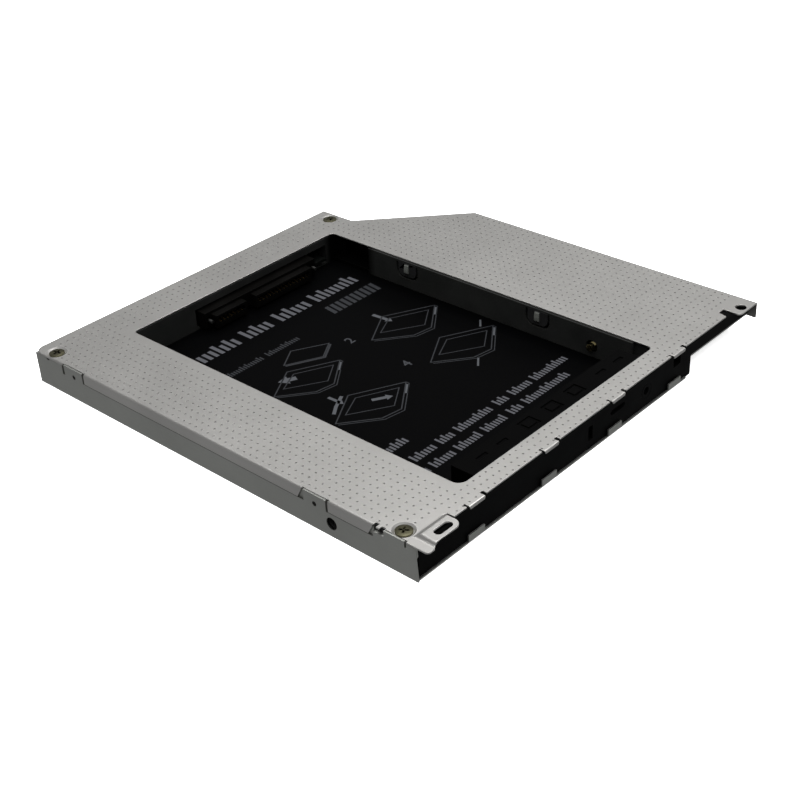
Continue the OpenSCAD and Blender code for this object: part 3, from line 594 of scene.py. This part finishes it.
def dimple_places():
    """Square grid of dimples on the patterned parts of the cover."""
    columns = int((BODY_W - DIMPLE_START[0]) / DIMPLE_PITCH[0]) + 1
    rows = int((BODY_D - DIMPLE_START[1]) / DIMPLE_PITCH[1]) + 1
    xs = [DIMPLE_START[0] + i * DIMPLE_PITCH[0] for i in range(columns)]
    ys = [DIMPLE_START[1] + j * DIMPLE_PITCH[1] for j in range(rows)]
    return [(x, y) for x in xs for y in ys if not is_plain(x, y)]


def dimple_tool(material):
    """Closed steep bowls, one for each dimple, that stand a little proud of the sheet."""
    sides = 10
    # Radius and height above the sheet of the bowl's floor, wall foot and rim.
    profile = ((0.13, -0.17), (0.21, -0.14), (DIMPLE_R, 0.03))
    bm = bmesh.new()
    for place in dimple_places():
        loft(bm, [circle(place, r, TOP_Z + z, sides) for r, z in profile])
    return new_object("dimple_tool", bm, material)


def in_dimple(point):
    """True for a face centre that lies inside one of the pressed bowls."""
    p = (point - CORNER) / MM
    steps = [(p[k] - DIMPLE_START[k]) / DIMPLE_PITCH[k] for k in (0, 1)]
    off = [(step - round(step)) * pitch for step, pitch in zip(steps, DIMPLE_PITCH)]
    return math.hypot(*off) < DIMPLE_R and TOP_Z - 0.2 < p.z < TOP_Z - 0.01


def is_fold(edge):
    """True for the long outer edges where the sheet is bent, not cut."""
    a, b = [(v.co - CORNER) / MM for v in edge.verts]
    near, shortest = 0.02, 8
    if abs(a.z - TOP_Z) > near or abs(b.z - TOP_Z) > near or (a - b).length < shortest:
        return False
    on_left = max(a.x, b.x) < near
    on_right = min(a.x, b.x) > BODY_W - near
    on_rear = min(a.y, b.y) > BODY_D - near
    on_step = min(a.x, b.x) > STEP_X - near and min(a.y, b.y) > DIAGONAL_Y - near
    return on_left or on_right or on_rear or on_step


def sharp_edges(bm, degrees):
    limit = math.radians(degrees)
    return [e for e in bm.edges if len(e.link_faces) == 2 and e.calc_face_angle() > limit]


def is_ear_bend(edge):
    """True for the head and foot of the slopes that lead up to the raised ear."""
    points = [(v.co - CORNER) / MM for v in edge.verts]
    ear_right, ear_rear = 12, 3.2
    inside = all(p.x < ear_right and p.y < ear_rear and p.z > TOP_Z - 0.1 for p in points)
    return inside and math.radians(20) < edge.calc_face_angle() < math.radians(60)


def round_edges(bm, edges, width_mm, segments):
    bmesh.ops.bevel(
        bm, geom=edges, offset=width_mm * MM, segments=segments, profile=0.5, affect="EDGES",
    )


def make_top_cover(materials):
    """Copy of the CAD sheet with bent and burred edges and its pressed dimples."""
    bm = bmesh.new()
    bm.from_mesh(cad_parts["top_cover"].data)
    bmesh.ops.remove_doubles(bm, verts=bm.verts, dist=0.002 * MM)
    bmesh.ops.dissolve_limit(bm, angle_limit=math.radians(1), verts=bm.verts, edges=bm.edges)
    left_side = at(1, 0, 0).x
    round_edges(bm, [e for e in sharp_edges(bm, 20) if is_ear_bend(e)], 0.4, 5)
    folds = [e for e in sharp_edges(bm, 30) if is_fold(e)]
    round_edges(bm, [e for e in folds if e.verts[0].co.x < left_side], 0.7, 6)
    folds = [e for e in sharp_edges(bm, 30) if is_fold(e)]
    round_edges(bm, [e for e in folds if e.verts[0].co.x > left_side], 0.3, 4)
    round_edges(bm, sharp_edges(bm, 40), 0.06, 2)
    cover = new_piece("top_cover_sheet", bm, materials["top"], "carrier")
    cut(cover, dimple_tool(materials["top"]))
    cover.data.materials.clear()
    # Faces inside the bowls take the dimples' painted shade.
    for material in ("top", "dimple"):
        cover.data.materials.append(materials[material])
    for face in cover.data.polygons:
        face.material_index = int(in_dimple(face.center))
    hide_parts("top_cover")


# ---- Cover screws ----

HEAD_R, HEAD_Z = 1.95, 8.85


def cross_tool(centre, turn, material):
    """Tapered cross recess of a screw head, narrow at the foot and wide above the head."""
    arm, half, depth = 1.2, 0.3, 0.44
    foot, mouth = (HEAD_Z - depth, 0.62), (HEAD_Z + 0.3, 1.15)
    bm = bmesh.new()
    for quarter in (0, 1):
        angle = turn + quarter * math.pi / 2
        c, s = math.cos(angle), math.sin(angle)
        rings = []
        for z, grow in (foot, mouth):
            ring = []
            for x, y in ((-arm, -half), (arm, -half), (arm, half), (-arm, half)):
                x, y = x * grow, y * grow
                ring.append(at(centre[0] + c * x - s * y, centre[1] + s * x + c * y, z))
            rings.append(ring)
        loft(bm, rings)
    return new_object("cross_tool", bm, material)


def make_cover_screws(materials):
    """Low-headed screws with a crowned top and a cross recess."""
    sides = 40
    # Radius and height of the shank's foot and neck, and of the head up to its crown.
    profile = (
        (0.3, 4.17), (0.9, 4.57), (0.9, 8.37), (HEAD_R - 0.05, 8.38), (HEAD_R, 8.43), (HEAD_R, 8.66),
        (HEAD_R - 0.05, 8.73), (HEAD_R - 0.22, 8.78), (HEAD_R - 0.75, 8.83), (0.6, HEAD_Z),
    )
    for number, (place, turn) in enumerate(zip(COVER_SCREWS, (0.5, 0.2, 1.1)), 1):
        bm = bmesh.new()
        loft(bm, [circle(place, r, z, sides) for r, z in profile])
        name = f"cover_screw_{number}"
        screw = new_piece(name, bm, materials["nickel"], "carrier")
        tool = cross_tool(place, turn, materials["nickel"])
        cut(screw, tool)
        shade_by_angle(screw, 30)
        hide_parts("cover_screws")


# ---- Corner of the frame ----


def make_corner_block(materials):
    """Moulded block that squares the frame's lower right front corner."""
    left, right, front, back = 98.35, 101.05, 0.65, 3.35
    edge = 0.12
    low, high = 0.01, 5.35
    bm = bmesh.new()
    outline = ((left, front), (right - edge, front), (right, front + edge), (right, back))
    prism(bm, outline, low, high)
    new_piece("frame_corner_block", bm, materials["frame"], "carrier")


# ---- Printed label ----

FILM_Z = 0.54
INK_T = 0.015


def ribbon(bm, points, width, closed=False):
    """Flat printed line through XY points, with mitred corners."""
    count = len(points)
    left, right = [], []
    for i, point in enumerate(points):
        p = Vector(point)
        before = Vector(points[i - 1]) if i or closed else None
        after = Vector(points[(i + 1) % count]) if i < count - 1 or closed else None
        ways = [(p - before).normalized()] if before else []
        ways += [(after - p).normalized()] if after else []
        mean = sum(ways, Vector((0, 0))).normalized()
        side = Vector((-mean.y, mean.x))
        reach = width / 2 / max(0.35, side.dot(Vector((-ways[0].y, ways[0].x))))
        left.append(p + side * reach)
        right.append(p - side * reach)
    if closed:
        low, high = FILM_Z, FILM_Z + INK_T
        sides = ((right, low), (right, high), (left, high), (left, low))
        rings = [[at(q.x, q.y, z) for q in ring] for ring, z in sides]
        loops = [[bm.verts.new(p) for p in ring] for ring in rings]
        for k in range(4):
            this, following = loops[k], loops[(k + 1) % 4]
            for i in range(count):
                j = (i + 1) % count
                bm.faces.new((this[i], this[j], following[j], following[i]))
    else:
        outline = [(q.x, q.y) for q in right + left[::-1]]
        prism(bm, outline, FILM_Z, FILM_Z + INK_T)


def word(bm, x0, x1, base, height):
    """Stand-in for a printed word: upright strokes of two heights, with no letters in them."""
    count = max(2, round((x1 - x0) / (height * 0.37)))
    step = (x1 - x0) / count
    for i in range(count):
        low = x0 + i * step
        high = low + step * 0.58
        top = base + height * (1.0 if i * 5 % 7 in (0, 3) else 0.72)
        prism(bm, ((low, base), (high, base), (high, top), (low, top)), FILM_Z, FILM_Z + INK_T)


def line_of_words(bm, spans, base, height):
    for x0, x1 in spans:
        word(bm, x0, x1, base, height)


def arrow(bm, start, end, width):
    """Solid arrow from start to end."""
    a, b = Vector(start), Vector(end)
    way = (b - a).normalized()
    side = Vector((-way.y, way.x))
    neck = b - way * width * 1.6
    outline = [
        a - side * width / 2, neck - side * width / 2, neck - side * width * 1.1, b,
        neck + side * width * 1.1, neck + side * width / 2, a + side * width / 2,
    ]
    prism(bm, [(p.x, p.y) for p in outline], FILM_Z, FILM_Z + INK_T)


# Drawings on the label: a caddy in a slanted view from its left corner, its window, and a drive.
CADDY_OUTLINE = ((0, 0), (8.6, -7.0), (14.4, -7.9), (24.2, -0.6), (10.9, 6.4))
CADDY_RIM = ((0, -0.9), (8.6, -7.9), (14.4, -8.9), (24.2, -1.6), (24.2, -0.6))
CADDY_WINDOW = ((4.2, 0.8), (14.4, -5.6), (21.2, -1.0), (11.2, 4.2))
CADDY_PLUG = ((20.4, -4.1), (23.7, -1.6))
DRIVE_OUTLINE = ((0, 0), (9.3, -4.8), (15.0, -1.2), (6.1, 3.8))
DRIVE_EDGE = ((0, -0.6), (9.3, -5.4), (15.0, -1.8))


def placed(points, x, y, size=1.0):
    return [(px * size + x, py * size + y) for px, py in points]


def caddy_drawing(dim, bright, x, y, size):
    ribbon(dim, placed(CADDY_OUTLINE, x, y, size), 0.32, closed=True)
    ribbon(dim, placed(CADDY_RIM, x, y, size), 0.26)
    ribbon(dim, placed(CADDY_WINDOW, x, y, size), 0.26, closed=True)
    ribbon(bright, placed(CADDY_PLUG, x, y, size), 0.7)


def numeral(text, x, y, height, materials):
    """Step number, as a thin printed shape."""
    curve = bpy.data.curves.new("numeral_curve", "FONT")
    curve.body = text
    curve.size = height * MM / 0.7
    curve.extrude = INK_T * MM / 2
    curve.offset = 0.05 * MM
    shape = bpy.data.objects.new("numeral_shape", curve)
    bpy.context.scene.collection.objects.link(shape)
    graph = bpy.context.evaluated_depsgraph_get()
    mesh = bpy.data.meshes.new_from_object(shape.evaluated_get(graph))
    bpy.data.objects.remove(shape)
    bm = bmesh.new()
    bm.from_mesh(mesh)
    bpy.data.meshes.remove(mesh)
    bmesh.ops.translate(bm, verts=bm.verts, vec=at(x, y, FILM_Z + INK_T / 2))
    new_piece(f"label_step_{text}", bm, materials["ink_number"], "carrier")


def make_label_print(materials):
    """Plain strokes where the real label has writing, step drawings and their numbers."""
    lines = bmesh.new()
    line_of_words(lines, ((22.8, 44.4), (46.4, 56.0), (58.2, 70.2), (71.8, 88.4)), 99.1, 5.2)
    line_of_words(lines, ((25.0, 36.6),), 34.5, 2.9)
    line_of_words(lines, ((24.0, 29.2), (31.0, 38.6), (40.0, 45.0), (46.4, 58.8), (60.8, 65.0),
                          (66.6, 74.0), (75.2, 88.5)), 27.6, 2.8)
    line_of_words(lines, ((24.6, 30.8), (32.0, 39.4), (40.6, 48.8), (50.2, 58.0), (59.8, 64.2),
                          (65.6, 82.6)), 22.6, 2.8)
    new_piece("label_print_lines", lines, materials["ink"], "carrier")

    dim, bright = bmesh.new(), bmesh.new()
    line_of_words(dim, ((23.0, 41.8), (43.2, 54.6)), 88.5, 2.2)
    # Badge with slanted stripes
    for i in range(10):
        x = 69.6 + i * 1.9
        stripe = ((x, 90.9), (x + 1.25, 90.9), (x + 1.85, 95.5), (x + 0.6, 95.5))
        prism(dim, stripe, FILM_Z, FILM_Z + INK_T)
    for x, y, size in ((30.3, 73.3, 0.93), (65.2, 73.3, 1), (30.9, 53.0, 1), (65.9, 53.8, 1)):
        caddy_drawing(dim, bright, x, y, size)
    # A drive on its way to the window, and the arrows that show each step
    ribbon(dim, placed(DRIVE_OUTLINE, 42.2, 82.2), 0.34, closed=True)
    ribbon(dim, placed(DRIVE_EDGE, 42.2, 82.2), 0.55)
    arrow(bright, (39.9, 75.3), (35.5, 77.4), 1.7)
    arrow(bright, (75.3, 82.4), (75.9, 75.8), 1.1)
    arrow(bright, (38.2, 62.6), (38.4, 57.6), 0.9)
    arrow(bright, (43.8, 53.4), (48.4, 50.6), 1.1)
    ribbon(bright, ((33.6, 56.2), (36.4, 58.2), (40.6, 60.4)), 0.9)
    ribbon(bright, ((71.8, 43.3), (75.2, 46.0)), 0.5)
    ribbon(bright, ((87.7, 55.5), (90.5, 57.8)), 0.5)
    new_piece("label_drawings", dim, materials["ink_dim"], "carrier")
    new_piece("label_arrows", bright, materials["ink_mid"], "carrier")

    for text, x, y in (("1", 28.0, 76.5), ("2", 60.5, 76.3), ("3", 27.8, 56.7), ("4", 60.8, 56.9)):
        numeral(text, x, y, 2.9, materials)


def main():
    materials = make_materials()
    make_camera()
    make_floor()
    make_lights()
    dress_kept_nodes(materials)
    make_top_cover(materials)
    make_cover_screws(materials)
    make_corner_block(materials)
    make_label_print(materials)


main()
